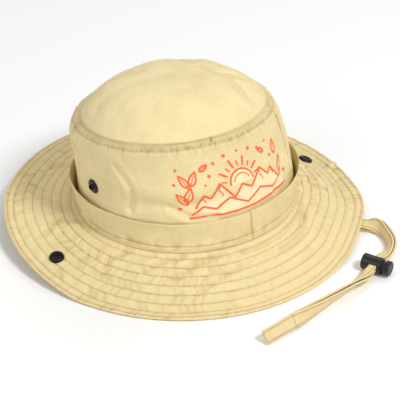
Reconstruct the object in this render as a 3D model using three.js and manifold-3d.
import * as THREE from 'three';
import { mergeVertices } from 'three/addons/utils/BufferGeometryUtils.js';
import Module from 'manifold-3d';

// Safari hat, millimetres, +Z up. The front faces -Y and the hat stands on its brim at Z = 0.
// Angles run counter-clockwise from +X, so -90 is the front, 0 and 180 are the two sides.

// Crown
const crownWidth = 171.2; // outside, across the sides, at the brim seam
const crownDepth = 164.8; // outside, front to back, at the brim seam
const crownHeight = 82;
const crownCloth = 1.6;
const domeHeight = 26.5; // rise of the top panel above its seam
const seatHeight = 21.2; // brim seam above the surface that the hat stands on

// Band and brim
const bandHeight = 23;
const bandCloth = 1.6;
const bandStandoff = 4.6; // widest gap of the loose top edge from the crown
const brimWidth = 56;
const brimCloth = 2.4; // two plies and their stitching

// Press studs
const studDiameter = 11.4;
const studHeight = 2.3;
const studPost = 3.6;

// Angle of each pair of studs, and its reach from the brim seam: outwards on the brim, upwards on
// the crown, so the pair meets when the brim is folded up.
const studSeats = [
  { side: 'left', angle: -174.5, reach: 0.66 * brimWidth },
  { side: 'right', angle: 1, reach: 0.554 * brimWidth }
];

// Chin strap and its lock
const strapWidth = 11;
const strapCloth = 1.6;
const strapTipLength = 28;
const strandGap = 0.9; // between the two strands where they run together
const lockDiameter = 12.4;
const lockLength = 16;
const lockWall = 1.6;
const buttonLength = 4.5;
const buttonTravel = 2;
const slotOffset = 2; // of the slot from the barrel's middle, towards the button

const clearance = 0.3;

const degree = Math.PI / 180;
const up = new THREE.Vector3(0, 0, 1);

// Rings of the crown wall. Height is a share of the crown's height, width and depth are shares of
// its own, right and back shift the ring by shares of the crown's width, turn is in degrees, and
// the two rises are for each millimetre to the right and to the back.
const crownRings = [
  { height: 0, width: 1, depth: 1, right: 0, back: 0, turn: 4.5, riseRight: 0, riseBack: -0.028 },
  { height: 0.4, width: 0.985, depth: 0.966, right: -0.012, back: 0.014, turn: 6.5, riseRight: -0.01, riseBack: -0.05 },
  { height: 0.8, width: 0.978, depth: 0.9, right: -0.038, back: 0.044, turn: 10.6, riseRight: -0.04, riseBack: -0.108 },
  { height: 0.92, width: 0.94, depth: 0.862, right: -0.053, back: 0.028, turn: 13.2, riseRight: -0.046, riseBack: -0.122 },
  { height: 1.0, width: 0.876, depth: 0.796, right: -0.071, back: -0.005, turn: 16.5, riseRight: -0.05, riseBack: -0.135 }
];

// Dome of the top panel: rise as a share of its height, at shares of the way in from the seam.
const domeSections = [
  { inward: 0.0, rise: 0.0 },
  { inward: 0.08, rise: 0.27 },
  { inward: 0.18, rise: 0.53 },
  { inward: 0.32, rise: 0.78 },
  { inward: 0.5, rise: 0.93 },
  { inward: 0.75, rise: 0.99 },
  { inward: 1.0, rise: 1.0 }
];
const domeRight = -0.03; // shift of the dome's middle, as a share of the crown's width

// Soft folds in the crown wall: angle and its spread in degrees, height and its spread as shares
// of the crown's height, depth as a share of the crown's height, inwards.
const crownFolds = [
  { angle: -118, spread: 24, height: 0.43, reach: 0.06, depth: 0.036 },
  { angle: -118, spread: 30, height: 0.56, reach: 0.09, depth: -0.02 },
  { angle: -52, spread: 14, height: 0.5, reach: 0.2, depth: 0.02 },
  { angle: 40, spread: 22, height: 0.45, reach: 0.16, depth: 0.03 },
  { angle: 100, spread: 26, height: 0.38, reach: 0.1, depth: 0.03 },
  { angle: 178, spread: 12, height: 0.62, reach: 0.2, depth: 0.02 }
];
const leftSeamAngle = 165; // the wall is two panels, sewn together at these angles
const rightSeamAngle = 318;

// Gap of the band's top edge from the crown, as a share of its widest gap.
const bandLoops = [
  { angle: -155, gap: 0.1 },
  { angle: -88, gap: 0.1 },
  { angle: -35, gap: 1.0 },
  { angle: 25, gap: 0.1 },
  { angle: 85, gap: 0.55 },
  { angle: 150, gap: 0.9 }
];

// Droop of the brim in degrees below the horizontal, on its way to the surface that it rests on.
const brimDroops = [
  { angle: -180, droop: 10 },
  { angle: -150, droop: 22.5 },
  { angle: -120, droop: 25.5 },
  { angle: -90, droop: 25.5 },
  { angle: -60, droop: 25.5 },
  { angle: -30, droop: 24.5 },
  { angle: 0, droop: 24.5 },
  { angle: 30, droop: 24 },
  { angle: 60, droop: 22 },
  { angle: 90, droop: 10 },
  { angle: 120, droop: 6 },
  { angle: 150, droop: 3.2 }
];

// Dips and swells of the brim: angle and spread in degrees, out and reach as shares of the brim's
// width, depth as a share of the brim's width, downwards.
const brimFolds = [
  { angle: -47, spread: 11, out: 0.13, reach: 0.11, depth: 0.06 },
  { angle: -20, spread: 12, out: 0.4, reach: 0.22, depth: -0.025 },
  { angle: -168, spread: 12, out: 0.45, reach: 0.25, depth: 0.03 },
  { angle: 12, spread: 12, out: 0.5, reach: 0.25, depth: 0.03 },
  { angle: 128, spread: 14, out: 0.6, reach: 0.3, depth: 0.035 }
];
const strapArch = { angle: -41.5, flat: 6.5, spread: 34 }; // where the brim lies over the strap

// Route of the strap outside the brim, chosen by hand: the middle of its two strands. Lean is the
// angle of its width from flat, width and cloth are shares of its own. The row named lock is the
// middle of the cord lock, where the strands are gathered.
const strapRun = [
  { x: 102, y: -89.5, lean: 0, width: 1, cloth: 1 },
  { x: 106, y: -94, lean: 8, width: 1, cloth: 1 },
  { x: 108.8, y: -99.5, lean: 42, width: 1, cloth: 1 },
  { x: 109.6, y: -107.5, lean: 78, width: 1, cloth: 1 },
  { x: 108, y: -116.5, lean: 86, width: 1, cloth: 1 },
  { x: 103.6, y: -125.5, lean: 72, width: 1, cloth: 1 },
  { x: 97.6, y: -131.5, lean: 54, width: 0.95, cloth: 1 },
  { x: 90.4, y: -134.6, lean: 22, width: 0.72, cloth: 1.15 },
  { x: 83, y: -136.9, lean: 0, width: 0.55, cloth: 1.3 },
  { x: 76.1, y: -140.5, lean: 0, width: 0.55, cloth: 1.3, name: 'lock' },
  { x: 69.2, y: -144.1, lean: 0, width: 0.55, cloth: 1.3 },
  { x: 62, y: -147.2, lean: 24, width: 0.76, cloth: 1.1 },
  { x: 53, y: -149.8, lean: 46, width: 1, cloth: 1 },
  { x: 42, y: -152.2, lean: 58, width: 1, cloth: 1 },
  { x: 28, y: -154.8, lean: 66, width: 1, cloth: 1 },
  { x: 11.5, y: -157.8, lean: 80, width: 1, cloth: 1 },
  { x: -4, y: -160.4, lean: 102, width: 1, cloth: 1 },
  { x: -15, y: -162.1, lean: 126, width: 1, cloth: 1 }
];

// Hidden stretches, from the seam inside the crown's sides, down and along the surface under the
// hat, to the place where the strap comes out under the brim. Z is the middle of the strand.
const rightHidden = [
  { x: 81.6, y: -3, z: 25 },
  { x: 80, y: -3, z: 16 },
  { x: 75.5, y: -2, z: 7 },
  { x: 67, y: 0, z: 2.2 },
  { x: 53, y: 6, z: 1.1 },
  { x: 39, y: 12, z: 1.1 },
  { x: 24, y: 11, z: 1.1 },
  { x: 13, y: 0, z: 1.1 },
  { x: 12, y: -16, z: 1.1 },
  { x: 22, y: -31, z: 1.1 },
  { x: 38, y: -43, z: 1.1 },
  { x: 55, y: -55, z: 2.2 },
  { x: 72, y: -69, z: 3.3 },
  { x: 88, y: -82, z: 3.3 }
];
const leftHidden = [
  { x: -81.6, y: 4, z: 25 },
  { x: -80, y: 4, z: 16 },
  { x: -75.5, y: 2, z: 7 },
  { x: -67, y: -4, z: 2.2 },
  { x: -49, y: -24, z: 1.1 },
  { x: -26, y: -43, z: 1.1 },
  { x: 4, y: -59, z: 1.1 },
  { x: 34, y: -69, z: 1.1 },
  { x: 62, y: -76, z: 1.1 },
  { x: 85, y: -84, z: 1.1 }
];

const fabric = { color: 0xe6d3a3, roughness: 0.9, metalness: 0.0 };
const blackMetal = { color: 0x2b2926, roughness: 0.4, metalness: 0.7 };
const blackPlastic = { color: 0x1d1c1b, roughness: 0.55, metalness: 0.0 };

// Monotone cubic through one column of a table, so a curve never swings past its rows.
function readTable(rows, along, column, at) {
  const last = rows.length - 1;
  let i = 0;
  while (i < last - 1 && at > rows[i + 1][along]) i += 1;
  const slope = k => (rows[k + 1][column] - rows[k][column]) / (rows[k + 1][along] - rows[k][along]);
  const tangent = k => {
    if (k === 0 || k === last) return slope(Math.min(k, last - 1));
    const before = slope(k - 1);
    const after = slope(k);
    return before * after <= 0 ? 0 : 2 * before * after / (before + after);
  };
  const length = rows[i + 1][along] - rows[i][along];
  const t = Math.min(1, Math.max(0, (at - rows[i][along]) / length));
  const rise = rows[i + 1][column] - rows[i][column];
  return rows[i][column] + rise * t * t * (3 - 2 * t)
    + length * t * (1 - t) * ((1 - t) * tangent(i) - t * tangent(i + 1));
}

// The same for a table of angles that closes on itself.
function readAround(rows, column, angle) {
  const wrapped = [];
  for (const turn of [-360, 0, 360]) {
    for (const row of rows) wrapped.push({ ...row, angle: row.angle + turn });
  }
  return readTable(wrapped, 'angle', column, angle);
}

function angleBetween(a, b) {
  return Math.abs(((a - b + 540) % 360 + 360) % 360 - 180);
}

function smoothStep(t) {
  const clamped = Math.min(1, Math.max(0, t));
  return clamped * clamped * (3 - 2 * clamped);
}

function bell(distance, spread) {
  return Math.exp(-((distance / spread) ** 2));
}

// A point of the crown's outer surface without folds: height is a share of the crown's height.
function crownRing(angle, height) {
  const read = column => readTable(crownRings, 'height', column, height);
  const turn = read('turn') * degree;
  const a = angle * degree - turn;
  const across = crownWidth / 2 * read('width') * Math.cos(a);
  const along = crownDepth / 2 * read('depth') * Math.sin(a);
  const x = across * Math.cos(turn) - along * Math.sin(turn) + read('right') * crownWidth;
  const y = across * Math.sin(turn) + along * Math.cos(turn) + read('back') * crownWidth;
  const z = seatHeight + crownHeight * height + read('riseRight') * x + read('riseBack') * y;
  return new THREE.Vector3(x, y, z);
}

function normalOf(surface, a, b, stepA, stepB) {
  const alongA = surface(a + stepA, b).sub(surface(a - stepA, b));
  const alongB = surface(a, b + stepB).sub(surface(a, b - stepB));
  return alongA.cross(alongB).normalize();
}

function crownNormal(angle, height) {
  const middle = Math.min(0.99, Math.max(0.01, height));
  return normalOf(crownRing, angle, middle, 0.5, 0.01);
}

// The crown's surface with its folds, moved out by an offset.
function crownPoint(angle, height, offset) {
  let fold = 0;
  for (const row of crownFolds) {
    const side = bell(angleBetween(angle, row.angle), row.spread);
    fold -= row.depth * crownHeight * side * bell(height - row.height, row.reach);
  }
  const normal = height < 1 ? crownNormal(angle, height) : seamNormal(angle);
  return crownRing(angle, height).addScaledVector(normal, offset + fold);
}

const domeMiddle = new THREE.Vector3();
for (let angle = 0; angle < 360; angle += 10) domeMiddle.addScaledVector(crownRing(angle, 1), 1 / 36);

// The top panel over a unit disc.
function domeRing(px, py) {
  const out = Math.min(1, Math.hypot(px, py));
  const angle = Math.atan2(py, px) / degree;
  const point = domeMiddle.clone().lerp(crownRing(angle, 1), out);
  point.x += domeRight * crownWidth * (1 - out * out);
  point.z += domeHeight * readTable(domeSections, 'inward', 'rise', 1 - out);
  return point;
}

function domeNormal(angle, out) {
  const inside = Math.min(out, 0.985);
  const px = inside * Math.cos(angle * degree);
  const py = inside * Math.sin(angle * degree);
  return normalOf(domeRing, px, py, 0.01, 0.01);
}

// Wall and top panel share one normal at their seam, so their edges lie face to face.
function seamNormal(angle) {
  return crownNormal(angle, 1).add(domeNormal(angle, 1)).normalize();
}

const domeEdge = 1 - clearance / ((crownWidth + crownDepth) / 4) * 1.2;

function domePoint(angle, out, offset) {
  const point = domeRing(out * Math.cos(angle * degree), out * Math.sin(angle * degree));
  return point.addScaledVector(out < domeEdge ? domeNormal(angle, out) : seamNormal(angle), offset);
}

// Places on the brim's underside; the distance runs along the cloth from the band's outside.
const bandOut = clearance + bandCloth;
const brimSteps = 28;

function brimFloor(angle) {
  const away = angleBetween(angle, strapArch.angle) - strapArch.flat;
  const strapStack = 2 * strapCloth + strandGap;
  return (strapStack + 3 * clearance) * (1 - smoothStep(away / (strapArch.spread - strapArch.flat)));
}

function layOn(z, floor) {
  const soft = brimCloth / 3;
  const above = z - floor;
  if (above > soft) return z;
  return above < -soft ? floor : floor + (above + soft) ** 2 / (4 * soft);
}

function brimProfile(angle, distance) {
  const seam = crownRing(angle, 0).z - clearance - brimCloth;
  const droop = readAround(brimDroops, 'droop', angle) * degree;
  const floor = brimFloor(angle);
  let out = 0;
  let z = seam;
  for (let k = 1; k <= brimSteps && distance > 0; k += 1) {
    const along = distance * k / brimSteps;
    let free = seam - along * Math.sin(droop);
    for (const row of brimFolds) {
      const near = bell(angleBetween(angle, row.angle), row.spread);
      free -= row.depth * brimWidth * near * bell(along / brimWidth - row.out, row.reach);
    }
    const next = layOn(free, floor);
    const step = distance / brimSteps;
    out += Math.sqrt(Math.max(0, step * step - (next - z) ** 2));
    z = next;
  }
  return { out: distance > 0 ? out : distance, z };
}

function outward(angle) {
  const tangent = crownRing(angle + 0.5, 0).sub(crownRing(angle - 0.5, 0));
  return new THREE.Vector3(tangent.y, -tangent.x, 0).normalize();
}

function brimUnder(angle, distance) {
  const profile = brimProfile(angle, distance);
  const point = crownRing(angle, 0).addScaledVector(outward(angle), bandOut + profile.out);
  point.z = profile.z;
  return point;
}

function brimNormal(angle, distance) {
  const middle = Math.max(1, Math.min(brimWidth - 1, distance));
  return normalOf(brimUnder, angle, middle, 0.5, 0.5).negate();
}

function brimPoint(angle, distance, offset) {
  const lift = distance <= 0 ? up : brimNormal(angle, distance);
  return brimUnder(angle, distance).addScaledVector(lift, offset);
}

// A closed shell between two sheets. Sheet 0 faces out where its columns run counter-clockwise
// and its rows run up; sheet 1 is the other face of the cloth.
function shell(columns, rows, wraps, place) {
  const positions = [];
  const index = [];
  const across = columns.length;
  for (const sheet of [0, 1]) {
    for (const row of rows) {
      for (const column of columns) positions.push(...place(column, row, sheet).toArray());
    }
  }
  const at = (column, row, sheet) => (sheet * rows.length + row) * across + column % across;
  const quad = (a, b, c, d) => index.push(a, b, c, a, c, d);
  const spans = wraps ? across : across - 1;
  for (let c = 0; c < spans; c += 1) {
    for (let r = 0; r + 1 < rows.length; r += 1) {
      quad(at(c, r, 0), at(c + 1, r, 0), at(c + 1, r + 1, 0), at(c, r + 1, 0));
      quad(at(c, r, 1), at(c, r + 1, 1), at(c + 1, r + 1, 1), at(c + 1, r, 1));
    }
    const top = rows.length - 1;
    quad(at(c, 0, 1), at(c + 1, 0, 1), at(c + 1, 0, 0), at(c, 0, 0));
    quad(at(c, top, 0), at(c + 1, top, 0), at(c + 1, top, 1), at(c, top, 1));
  }
  if (!wraps) {
    for (let r = 0; r + 1 < rows.length; r += 1) {
      quad(at(0, r, 0), at(0, r + 1, 0), at(0, r + 1, 1), at(0, r, 1));
      quad(at(spans, r, 1), at(spans, r + 1, 1), at(spans, r + 1, 0), at(spans, r, 0));
    }
  }
  const geometry = new THREE.BufferGeometry();
  geometry.setAttribute('position', new THREE.Float32BufferAttribute(positions, 3));
  geometry.setIndex(index);
  return weld(geometry);
}

// Merges the shared vertices and drops the triangles that shrink to nothing at a pole.
function weld(geometry) {
  geometry.deleteAttribute('normal');
  geometry.deleteAttribute('uv');
  const merged = mergeVertices(geometry, 1e-4);
  const kept = [];
  for (let i = 0; i < merged.index.count; i += 3) {
    const [a, b, c] = [0, 1, 2].map(k => merged.index.getX(i + k));
    if (a !== b && b !== c && a !== c) kept.push(a, b, c);
  }
  merged.setIndex(kept);
  return merged;
}

function evenly(from, to, count) {
  return Array.from({ length: count }, (_, i) => from + (to - from) * i / (count - 1));
}

function around(count) {
  return Array.from({ length: count }, (_, i) => 360 * i / count - 180);
}

const wasm = await Module();
wasm.setup();

function toSolid(geometry) {
  const welded = weld(geometry.clone());
  return new wasm.Manifold(new wasm.Mesh({
    numProp: 3,
    vertProperties: new Float32Array(welded.attributes.position.array),
    triVerts: new Uint32Array(welded.index.array)
  }));
}

function toGeometry(solid) {
  const mesh = solid.getMesh();
  const geometry = new THREE.BufferGeometry();
  geometry.setAttribute('position', new THREE.Float32BufferAttribute(Array.from(mesh.vertProperties), 3));
  geometry.setIndex(Array.from(mesh.triVerts));
  return geometry;
}

function cut(geometry, ...tools) {
  return toGeometry(tools.reduce((solid, tool) => solid.subtract(toSolid(tool)), toSolid(geometry)));
}

// Crown: a domed top panel and two wall panels.
function topPanel() {
  const rows = [domeEdge, 0.94, 0.86, 0.74, 0.56, 0.3, 0];
  return shell(around(48), rows, true, (angle, out, sheet) => domePoint(angle, out, -sheet * crownCloth));
}

function wallPanel(from, to, count) {
  const seamHalf = clearance / crownWidth / degree;
  const rows = [0, 0.14, 0.3, 0.42, 0.54, 0.7, 0.82, 0.92, 1];
  return shell(evenly(from + seamHalf, to - seamHalf, count), rows, false,
    (angle, height, sheet) => crownPoint(angle, height, -sheet * crownCloth));
}

// Band: stands on the brim's inner margin, tacked to the crown between its loose loops.
function crownBand() {
  return shell(around(64), [0, 0.3, 0.65, 1], true, (angle, share, sheet) => {
    const gap = clearance + bandStandoff * readAround(bandLoops, 'gap', angle) * share ** 1.6;
    return crownPoint(angle, share * bandHeight / crownHeight, gap + (1 - sheet) * bandCloth);
  });
}

function brimShape() {
  const margin = bandOut + crownCloth;
  const shares = [0, 0.07, 0.16, 0.3, 0.48, 0.66, 0.8, 0.9, 1];
  const rows = [-margin, ...shares.map(share => share * brimWidth)];
  return shell(around(72), rows, true,
    (angle, distance, sheet) => brimPoint(angle, distance, sheet * brimCloth));
}

// Press studs: a pierced socket ring or a nipple on the outer side, and a cap whose post goes
// through the cloth. Their local +Z points out of the cloth, with the outer face at Z = 0.
const studSides = 12;

function lathe(points) {
  const geometry = new THREE.LatheGeometry(points.map(([r, z]) => new THREE.Vector2(r, z)), studSides);
  return weld(geometry.rotateX(Math.PI / 2));
}

function socketRing() {
  const radius = studDiameter / 2;
  const bore = studPost / 2 + clearance;
  const recess = 0.5 * radius;
  const low = clearance;
  const high = low + studHeight;
  return lathe([
    [bore, low], [radius * 0.95, low], [radius, low + 0.25 * studHeight],
    [radius * 0.92, high - 0.2 * studHeight],
    [radius * 0.74, high], [recess * 1.12, high], [recess, high - 0.15 * studHeight],
    [recess, low + 0.35 * studHeight], [bore, low + 0.35 * studHeight], [bore, low]
  ]);
}

function nipple() {
  const radius = studDiameter / 2;
  const bore = studPost / 2 + clearance;
  const neck = 0.42 * radius;
  const low = clearance;
  const plate = low + 0.35 * studHeight;
  const high = low + 1.25 * studHeight;
  return lathe([
    [bore, low], [radius * 0.96, low], [radius, low + 0.15 * studHeight], [radius * 0.9, plate],
    [neck * 1.05, plate], [neck * 0.9, plate + 0.3 * studHeight], [neck, high - 0.2 * studHeight],
    [neck * 0.8, high], [bore, high], [bore, low]
  ]);
}

function capWithPost(cloth, postHeight) {
  const radius = studDiameter * 0.46;
  const face = -cloth - 1.6 * clearance;
  const plate = 0.55 * studHeight;
  return lathe([
    [0, face - plate], [radius * 0.6, face - plate], [radius * 0.9, face - 0.75 * plate],
    [radius, face - 0.3 * plate],
    [radius * 0.94, face], [studPost / 2, face], [studPost / 2, postHeight], [0, postHeight]
  ]);
}

function postHole(cloth) {
  const radius = studPost / 2 + clearance;
  const depth = cloth + 8 * clearance;
  const hole = new THREE.CylinderGeometry(radius, radius, depth, studSides);
  return hole.rotateX(Math.PI / 2).translate(0, 0, -cloth / 2);
}

function seated(geometry, point, normal) {
  const turn = new THREE.Quaternion().setFromUnitVectors(up, normal);
  return geometry.clone().applyQuaternion(turn).translate(point.x, point.y, point.z);
}

function brimSeat({ angle, reach }) {
  return { point: brimPoint(angle, reach, brimCloth), normal: brimNormal(angle, reach) };
}

function crownSeat({ angle, reach }) {
  const height = reach / crownHeight;
  return { point: crownPoint(angle, height, 0), normal: crownNormal(angle, height) };
}

// Chin strap. Its path is a spline through the rows of a route, and a station is one cross-section
// of it: the strap can lean, narrow and thicken from station to station.
class StrapPath extends THREE.CatmullRomCurve3 {
  constructor(rows) {
    super(rows.map(row => new THREE.Vector3(row.x, row.y, row.z)), false, 'centripetal');
    this.rows = rows;
    this.arcLengthDivisions = 600;
  }

  read(column, u) {
    const t = this.getUtoTmapping(u) * (this.rows.length - 1);
    const i = Math.min(this.rows.length - 2, Math.floor(t));
    return THREE.MathUtils.lerp(this.rows[i][column], this.rows[i + 1][column], t - i);
  }

  shareAt(row) {
    const lengths = this.getLengths();
    return lengths[Math.round(row / (this.rows.length - 1) * this.arcLengthDivisions)] / this.getLength();
  }

  stationAt(u) {
    const tangent = this.getTangentAt(u);
    const level = up.clone().cross(tangent).normalize();
    const upright = tangent.clone().cross(level).normalize();
    const lean = this.read('lean', u) * degree;
    const across = level.clone().multiplyScalar(Math.cos(lean)).addScaledVector(upright, Math.sin(lean));
    const through = tangent.clone().cross(across).normalize();
    const point = this.getPointAt(u);
    const width = this.read('width', u);
    return { point, tangent, across, through, width, cloth: this.read('cloth', u) };
  }
}

// Hands a list of stations to ExtrudeGeometry as its path.
class StationPath extends THREE.Curve {
  constructor(stations) {
    super();
    this.stations = stations;
  }

  getSpacedPoints() {
    return this.stations.map(station => station.point);
  }

  computeFrenetFrames() {
    return {
      tangents: this.stations.map(station => station.tangent),
      normals: this.stations.map(station => station.across.clone().multiplyScalar(station.width)),
      binormals: this.stations.map(station => station.through.clone().multiplyScalar(station.cloth))
    };
  }
}

const lockHeight = lockDiameter / 2 + clearance / 2;

// Height of the strap's middle when its lower edge lies on the surface.
function restHeight(row) {
  const lean = row.lean * degree;
  const stack = strapCloth * row.cloth + strandGap / 2;
  return Math.sin(lean) * strapWidth * row.width / 2 + Math.abs(Math.cos(lean)) * stack + clearance;
}

const lockRow = strapRun.findIndex(row => row.name === 'lock');
const strapRows = strapRun.map((row, i) => {
  const away = Math.abs(i - lockRow);
  const held = away < 3 ? [1, 1, 0.55][away] : 0;
  return { ...row, z: THREE.MathUtils.lerp(restHeight(row), lockHeight, held) };
});
const strapPath = new StrapPath(strapRows);

// The two strands lie on either side of the strap's middle.
function besideMiddle(station, side) {
  const half = (strapCloth * station.cloth + strandGap) / 2;
  return { ...station, point: station.point.clone().addScaledVector(station.through, side * half) };
}

function strapSection(width, cloth) {
  const w = width / 2;
  const t = cloth / 2;
  return new THREE.Shape([
    [-w, -t], [-w / 3, -t], [w / 3, -t], [w, -t], [w, t], [w / 3, t], [-w / 3, t], [-w, t]
  ].map(([x, y]) => new THREE.Vector2(x, y)));
}

function extrudeAlong(stations, section) {
  const steps = stations.length - 1;
  const extrudePath = new StationPath(stations);
  return weld(new THREE.ExtrudeGeometry(section, { steps, bevelEnabled: false, extrudePath }));
}

const hiddenSteps = 22;
const runSteps = 44;

// One strand: its hidden stretch, then the shared run beside the other strand.
function strand(hidden, side) {
  const rows = hidden.map(row => ({ ...row, lean: 0, width: 1, cloth: 1 }));
  for (const i of [0, 1]) {
    const { point } = besideMiddle(strapPath.stationAt(strapPath.shareAt(i)), side);
    rows.push({ ...strapRows[i], x: point.x, y: point.y, z: point.z });
  }
  const hiddenPath = new StrapPath(rows);
  const end = hiddenPath.shareAt(hidden.length);
  const stations = evenly(0, end, hiddenSteps + 1).slice(0, -1).map(u => hiddenPath.stationAt(u));
  for (const u of evenly(0, 1, runSteps + 1)) stations.push(besideMiddle(strapPath.stationAt(u), side));
  return extrudeAlong(stations, strapSection(strapWidth, strapCloth));
}

// Sewn end: both plies as one folded tab.
function strapTip() {
  const last = strapPath.stationAt(1);
  const heading = last.tangent.clone().setZ(0).normalize();
  const stations = evenly(clearance, strapTipLength, 5).map(distance => (
    { ...last, point: last.point.clone().addScaledVector(heading, distance) }
  ));
  return extrudeAlong(stations, strapSection(strapWidth, 2 * strapCloth + strandGap));
}

// Cord lock: a barrel with a spring button, both pierced by one slot for the strap. Built along
// local X with the slot at the origin and the button at +X, then turned and laid on the strap.
const lockSides = 20;
const slotWide = strapWidth * strapRun[lockRow].width + 2 * clearance;
const slotTall = 2 * strapCloth * strapRun[lockRow].cloth + strandGap + 2 * clearance;

function roundBar(radius, from, to, chamfer) {
  const points = [
    [0, from], [radius - chamfer, from], [radius, from + chamfer],
    [radius, to - chamfer], [radius - chamfer, to], [0, to]
  ];
  const bar = new THREE.LatheGeometry(points.map(([r, z]) => new THREE.Vector2(r, z)), lockSides);
  return bar.rotateZ(-Math.PI / 2);
}

function slot(from, to) {
  return new THREE.BoxGeometry(to - from, 2 * lockDiameter, slotTall).translate((from + to) / 2, 0, 0);
}

const lockBore = lockDiameter / 2 - lockWall;
const lockBase = -lockLength / 2 - slotOffset;
const lockMouth = lockLength / 2 - slotOffset;

function lockBarrel() {
  const body = roundBar(lockDiameter / 2, lockBase, lockMouth, 1);
  const bore = roundBar(lockBore, lockBase + lockWall, lockMouth + lockLength, 0.2);
  return cut(body, bore, slot(-slotWide / 2, slotWide / 2));
}

function lockButton() {
  const stem = lockBore - clearance;
  const stemFrom = lockBase + lockWall + buttonTravel + clearance;
  const headFrom = lockMouth + buttonTravel + clearance;
  const head = roundBar(lockDiameter / 2 - 0.5, headFrom, headFrom + buttonLength, 1.2);
  const body = toSolid(roundBar(stem, stemFrom, headFrom + buttonLength / 2, 0.4)).add(toSolid(head));
  return toGeometry(body.subtract(toSolid(slot(-slotWide / 2, slotWide / 2 + buttonTravel))));
}

function lockPlaced(geometry) {
  const before = strapRun[lockRow - 1];
  const after = strapRun[lockRow + 1];
  const heading = Math.atan2(after.y - before.y, after.x - before.x);
  const middle = strapRun[lockRow];
  return weld(geometry.rotateZ(heading + Math.PI / 2).translate(middle.x, middle.y, lockHeight));
}

// Assembly
const hat = new THREE.Group();

function addPiece(name, geometry, look) {
  geometry.computeVertexNormals();
  const mesh = new THREE.Mesh(geometry, new THREE.MeshStandardMaterial(look));
  mesh.name = name;
  hat.add(mesh);
  return mesh;
}

const seats = studSeats.map(seat => ({ side: seat.side, brim: brimSeat(seat), crown: crownSeat(seat) }));
const brimHoles = seats.map(({ brim: at }) => seated(postHole(brimCloth), at.point, at.normal));
const [leftHole, rightHole] = seats.map(({ crown: at }) => seated(postHole(crownCloth), at.point, at.normal));

addPiece('top_panel', topPanel(), fabric);
addPiece('wall_front', cut(wallPanel(leftSeamAngle, rightSeamAngle, 26), leftHole), fabric);
addPiece('wall_back', cut(wallPanel(rightSeamAngle - 360, leftSeamAngle, 34), rightHole), fabric);
addPiece('crown_band', crownBand(), fabric);
const brim = addPiece('brim', cut(brimShape(), ...brimHoles), fabric);

for (const { side, brim: onBrim, crown: onCrown } of seats) {
  const postHeight = clearance + 0.35 * studHeight;
  const brimCap = capWithPost(brimCloth, postHeight);
  const crownCap = capWithPost(crownCloth, postHeight);
  addPiece(`brim_snap_${side}`, seated(socketRing(), onBrim.point, onBrim.normal), blackMetal);
  addPiece(`brim_cap_${side}`, seated(brimCap, onBrim.point, onBrim.normal), blackMetal);
  addPiece(`crown_snap_${side}`, seated(nipple(), onCrown.point, onCrown.normal), blackMetal);
  addPiece(`crown_cap_${side}`, seated(crownCap, onCrown.point, onCrown.normal), blackMetal);
}

addPiece('strap_right', strand(rightHidden, 1), fabric);
addPiece('strap_left', strand(leftHidden, -1), fabric);
addPiece('strap_tip', strapTip(), fabric);
addPiece('lock_barrel', lockPlaced(lockBarrel()), blackPlastic);
addPiece('lock_button', lockPlaced(lockButton()), blackPlastic);

// The origin is under the middle of the brim's outline.
const footprint = new THREE.Box3().setFromBufferAttribute(brim.geometry.attributes.position);
const middle = footprint.getCenter(new THREE.Vector3());
hat.position.set(-middle.x, -middle.y, 0);
hat.updateMatrixWorld(true);

export default hat;
